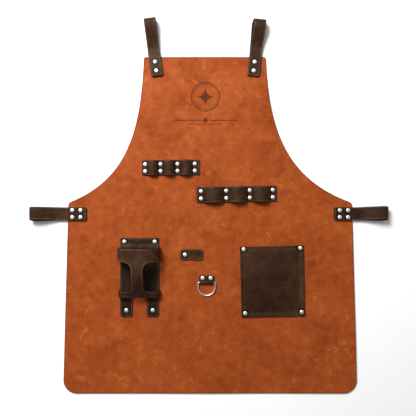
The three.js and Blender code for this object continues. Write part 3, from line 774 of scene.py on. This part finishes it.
def build_holder():
    """The holder's back and, through its sides, the cradle that carries the bottle."""
    places = rivet_places("holder")
    right = unit(places[1] - places[0])
    up = np.array([-right[1], right[0]])
    foot = (places[2] + places[3]) / 2 - 13.4 * up

    # The back is an arch from one foot to the other: each point of its outer line joined to the matching
    # point of the line round the slot. Between its riveted ends it stands raised, most over the side tabs.
    side, slot, slot_top, back_long, slot_round = 39.5, 14.5, 33.5, 161.4, 8
    legs = np.linspace(0, slot_top, 22)
    share = np.linspace(0, 1, 171)[1:-1]

    def up_over_down(half, over):
        """A line up the left leg, over the top by the given turn, and down the right leg."""
        left = np.stack([np.full(len(legs), -half), legs], -1)
        right_leg = np.stack([np.full(len(legs), half), legs[::-1]], -1)
        return np.concatenate([left, at_length(over, share * run_length(over)[-1]), right_leg])

    square_turn = [(-side, slot_top), (-side, back_long), (side, back_long), (side, slot_top)]
    left_round = arc((-slot + slot_round, slot_top), slot_round, 180, 90, 12)
    right_round = arc((slot - slot_round, slot_top), slot_round, 90, 0, 12)
    slot_turn = np.concatenate([[(-slot, slot_top)], left_round, right_round, [(slot, slot_top)]])
    outer = up_over_down(side, evened(np.array(square_turn), 0.2))
    inner = up_over_down(slot, slot_turn)
    k = np.linspace(0, 1, 46)[:, None, None]
    plan = outer * (1 - k) + inner * k
    x, y = plan[..., 0].copy(), plan[..., 1].copy()
    middle = np.sign(x) * (side + slot) / 2
    p = np.clip((5 - y) / 5, 0, 1)
    q = np.clip((np.abs(x - middle) - 7.5) / 5, 0, 1)
    low_end = y < 5
    y = np.where(low_end, 5 - 5 * p * np.sqrt(1 - q * q / 2), y)
    round_x = middle + np.sign(x - middle) * (7.5 + 5 * q * np.sqrt(1 - p * p / 2))
    x = np.where(low_end & (q > 0), round_x, x)
    raised = smooth((y - 31.5) / 7) * smooth((149.5 - y) / 7)
    over_tabs = smooth((np.abs(x) - 12) / 13)
    z = LAYER + 1.1 + 2.5 * raised * (0.45 + 0.55 * over_tabs)
    points = pressed(laid(np.stack([x, y, z], -1), foot, right), places, 0.22)
    flat = np.stack([x, y], -1) + np.array([400, 0])
    faces = turned_up(quads(*x.shape))
    back = leather_piece("holder_back_leather", points, faces, flat, 2.1, back_brown, places)
    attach(back, "apron")
    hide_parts("holder_back")

    # The cradle's middle line across: tab under the back, upright wall, quarter ellipse to the top.
    tab, wall, arch_foot, arch_top, bend = LAYER + 1.1, 41.5, 20.5, 49.0, LAYER + 2.1

    def across_line(inner_half, inner_count):
        """Half widths of the line's right side from the top down to the tab's end, and their heights."""
        inner_x = np.linspace(0, inner_half, inner_count)
        start = math.asin(inner_half / wall)
        angle = np.linspace(start, math.pi / 2, 22)[1:]
        top_x = np.concatenate([inner_x, wall * np.sin(angle)])
        top_z = arch_foot + (arch_top - arch_foot) * np.sqrt(np.clip(1 - (top_x / wall) ** 2, 0, 1))
        side_z = np.linspace(arch_foot, tab + 1.6, 11)[1:]
        turn = arc((wall - 1.6, tab + 1.6), 1.6, 0, -90, 6)[1:]
        tab_x = np.linspace(wall - 1.6, side - 13, 9)[1:]
        xs = np.concatenate([top_x, np.full(len(side_z), wall), turn[:, 0], tab_x])
        zs = np.concatenate([top_z, side_z, turn[:, 1], np.full(len(tab_x), tab)])
        return np.concatenate([-xs[:0:-1], xs]), np.concatenate([zs[:0:-1], zs])

    def height_at(z_full, y):
        """The full height scaled down towards the foot: a share of 0.3 there, rising as a sine to 1."""
        part = 0.3 + 0.7 * np.sin(math.pi / 2 * np.clip((y - 41) / 58, 0, 1))
        return np.where(z_full > bend, bend + (z_full - bend) * part, z_full)

    count = 17
    grids, first = [], 0
    low_band_top, top_band_foot, cradle_foot = 54.4, 114.8, 41
    bands = ((cradle_foot, low_band_top, 9, 22.0), (top_band_foot, 142, 16, 26.0))
    for low, high, rows, inner_half in bands:
        xs, zs = across_line(inner_half, count)
        ys = np.linspace(low, high, rows)[:, None] + 0 * xs
        far = run_length(np.stack([xs, zs], -1))
        far = far - far[-1] / 2
        xx = np.broadcast_to(xs, ys.shape)
        grids.append((np.stack([xx, ys, height_at(zs[None], ys)], -1), np.stack([far + 0 * ys, ys], -1)))

    def flare(gap, r):
        """How much wider the stem is at a gap from a band: a quarter circle of radius r into it."""
        return r - np.sqrt(np.clip(r * r - np.clip(r - gap, 0, r) ** 2, 0, None))

    ys = np.linspace(low_band_top, top_band_foot, 40)[:, None]
    half = 12 + flare(top_band_foot - ys, 14.0) + flare(ys - low_band_top, 10.0)
    xs = np.linspace(-1, 1, 2 * count - 1) * half
    zs = arch_foot + (arch_top - arch_foot) * np.sqrt(1 - (xs / wall) ** 2)
    ys = ys + 0 * xs
    grids.append((np.stack([xs, ys, height_at(zs, ys)], -1), np.stack([xs * 1.05, ys], -1)))
    points, flats, faces = [], [], []
    for grid, flat in grids:
        faces.append(quads(*grid.shape[:2], first=first))
        first += grid.shape[0] * grid.shape[1]
        points.append(grid.reshape(-1, 3))
        flats.append(flat.reshape(-1, 2))
    points = laid(np.concatenate(points), foot, right)
    flat = np.concatenate(flats) + np.array([600, 0])
    faces = np.concatenate(faces)
    cradle = leather_piece("holder_cradle_leather", points, faces, flat, 2.15, holder_brown, edge=0.6)
    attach(cradle, "apron")
    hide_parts("holder_cradle")


# ---------------------------------------------------------------- tab and ring


def build_keeper_tab():
    """A small tab with round corners, turning on one rivet."""
    pivot = np.array(joints["keeper_tab_swivel"]["pos_m"]) / MM
    line = evened(np.array([(-9.2, pivot[2]), (36.8, pivot[2])]), 0.5)
    local, flat = along_strip(line, 22, 4.3, 1.3, 1.2)
    local[..., 2] += 0.5 * smooth((local[..., 0] - 12) / 22)
    places = rivet_places("keeper_tab")
    points = pressed(laid(local, pivot[:2], (1, 0)), places, 0.2)
    faces = turned_up(quads(*local.shape[:2]))
    tab = leather_piece("keeper_tab_leather", points, faces, flat + 900.0, 2.3, strap_brown, places)
    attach(tab, "keeper_tab_body")
    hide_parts("keeper_tab")


def build_ring():
    """The D-ring: a round wire on a closed line of a half circle, two short sides, two corners and a bar."""
    bar = np.array(joints["d_ring_swing"]["pos_m"]) / MM
    half, reach, corner = 31.5 / 2 + WIRE, 27.4, 2.5
    bow = arc((0, half - reach), half, 180, 360, 61)
    right_corner = arc((half - corner, -corner), corner, 0, 90, 9)
    left_corner = arc((corner - half, -corner), corner, 90, 180, 9)
    line = np.concatenate([bow, right_corner, left_corner])
    line = evened(np.concatenate([line, line[:1]]), 1.0)[:-1]
    run = np.roll(line, -1, 0) - np.roll(line, 1, 0)
    out = np.stack([run[:, 1], -run[:, 0]], -1) / np.linalg.norm(run, axis=1)[:, None]
    turn = np.radians(np.arange(18) * 20)
    flat_part = line[:, None] + WIRE * np.cos(turn)[None, :, None] * out[:, None]
    up = np.broadcast_to(WIRE * np.sin(turn), flat_part.shape[:2])
    lean = math.asin((bar[2] - LAYER - WIRE) / (reach - WIRE))
    x, y = flat_part[..., 0], flat_part[..., 1]
    sine, cosine = math.sin(lean), math.cos(lean)
    local = np.stack([x, y * cosine - up * sine, y * sine + up * cosine + bar[2]], -1)
    points = laid(local, bar[:2], (1, 0))
    closed = np.concatenate([points, points[:1]])
    faces = turned_up(quads(len(closed), len(turn), round_columns=True))
    wire = mesh_object("d_ring_wire", closed, faces)
    wire.data.materials.append(ring_nickel)
    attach(wire, "d_ring_body")
    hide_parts("d_ring")

    # Its tab: lower layer, round the bar, then down onto itself and back along the top.
    skin = 1.8
    round_bar = WIRE + 0.3 + skin / 2
    lower, upper = LAYER + skin / 2, LAYER + skin * 1.5 + 0.3
    flat_from = round_bar + 0.6
    end = flat_from + 0.6 + RIVET_HEAD + RIVET_HEAD + 0.2  # the rivets with a margin on each side
    rise = upper - bar[2]
    leave = math.degrees(math.atan2(rise, flat_from) + math.acos(round_bar / math.hypot(flat_from, rise)))
    around = arc((0, bar[2]), round_bar, -90, leave - 360, 40)
    side = np.concatenate([[(end, lower)], around, [(flat_from, upper), (end, upper)]])
    line = evened(side, 0.4, 0.8)
    local, flat = along_strip(line, 31.5 - 1.6, 1.2, 1.0, 1.2)
    places = rivet_places("d_ring_tab")
    points = laid(local, bar[:2], (0, 1))
    top = (local[..., 2] > upper - 0.8) & (local[..., 0] > flat_from)
    points[top] = pressed(points[top], places, 0.15)
    faces = turned_up(quads(*local.shape[:2]))
    flat = flat + 1200.0
    tab = leather_piece("d_ring_tab_leather", points, faces, flat, skin - 0.05, strap_brown, places, 0.45)
    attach(tab, "apron")
    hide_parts("d_ring_tab")


# ---------------------------------------------------------------- put together

FLOOR_HALF, FLOOR_DOWN = 4000.0, 0.5
floor_corners = np.array([[-1, -1, 0], [1, -1, 0], [1, 1, 0], [-1, 1, 0]]) * FLOOR_HALF
floor = mesh_object("studio_floor", floor_corners - np.array([0, 0, FLOOR_DOWN]), np.array([[0, 1, 2, 3]]))
paper = Finish("white paper sweep")
cloudy = paper.noise(paper.node("TexCoord").outputs["Object"], 3, 2)
paper_tone = paper.ramp(cloudy, (0.3, (0.9, 0.9, 0.9, 1)), (0.7, (0.93, 0.93, 0.93, 1)))
paper_sockets = {"Base Color": paper_tone, "Roughness": 0.95, "Specular IOR Level": 0.1}
floor.data.materials.append(paper.surface(paper_sockets))

build_apron()
build_strap("neck_loop_left", strap_brown, 24.5, 40, 78, -2.0, -1.5)
build_strap("neck_loop_right", deep_brown, 24.5, 40, 75.5, -3.0, 1.4)
build_strap("waist_loop_left", strap_brown, 26.5, 38.5, 76.5, -1.6, 2.6)
build_strap("waist_loop_right", deep_brown, 26.5, 38.5, 71, 3.0, -1.5)
build_tool_strip("tool_strip_upper", 31, 9.5, 6.5, 10)
build_tool_strip("tool_strip_lower", 32, 12, 9.4, 8)
build_pocket()
build_holder()
build_keeper_tab()
build_ring()
for rivet_node in [n for n in frame["nodes"] if "rivet" in n]:
    build_rivet(rivet_node)

# ---------------------------------------------------------------- light and camera

scene = bpy.context.scene
scene.view_settings.view_transform = "Standard"


def studio_walls(behind, ahead):
    """Pale walls all round: strength behind on the hem's side, rising smoothly to ahead on the bib's side."""
    world = bpy.data.worlds.new("studio")
    world.use_nodes = True
    room = world.node_tree
    split = room.nodes.new("ShaderNodeSeparateXYZ")
    room.links.new(room.nodes.new("ShaderNodeTexCoord").outputs["Generated"], split.inputs[0])
    wall = room.nodes.new("ShaderNodeMapRange")
    wall.interpolation_type = "SMOOTHSTEP"
    rise_from, rise_to = -0.85, 0.35
    for socket, value in zip(list(wall.inputs)[1:5], (rise_from, rise_to, behind, ahead)):
        socket.default_value = value
    background = room.nodes["Background"]
    room.links.new(split.outputs[1], wall.inputs[0])
    room.links.new(wall.outputs[0], background.inputs[1])
    background.inputs[0].default_value = (1, 1, 1, 1)
    return world


def lamp(name, place, size, power):
    """A square soft light turned to face the apron."""
    data = bpy.data.lights.new(name, "AREA")
    data.shape, data.size, data.energy = "SQUARE", size, power
    lamp_object = bpy.data.objects.new(name, data)
    lamp_object.location = place
    lamp_object.rotation_mode = "QUATERNION"
    lamp_object.rotation_quaternion = (-Vector(place)).to_track_quat("-Z", "Y")
    scene.collection.objects.link(lamp_object)


scene.world = studio_walls(0.2, 0.44)
lamp("key softbox", (-0.66, 0.99, 1.32), 0.8, 50)

camera = bpy.data.objects.new("camera", bpy.data.cameras.new("camera"))
camera.data.sensor_width = 36
camera.data.lens = 44.3
eye_above_panel = 1.05
camera.location = (-0.00176, -0.0041, cad_low.z + LEATHER * MM + eye_above_panel)
camera.data.clip_start, camera.data.clip_end = 0.05, 30
scene.collection.objects.link(camera)
scene.camera = camera
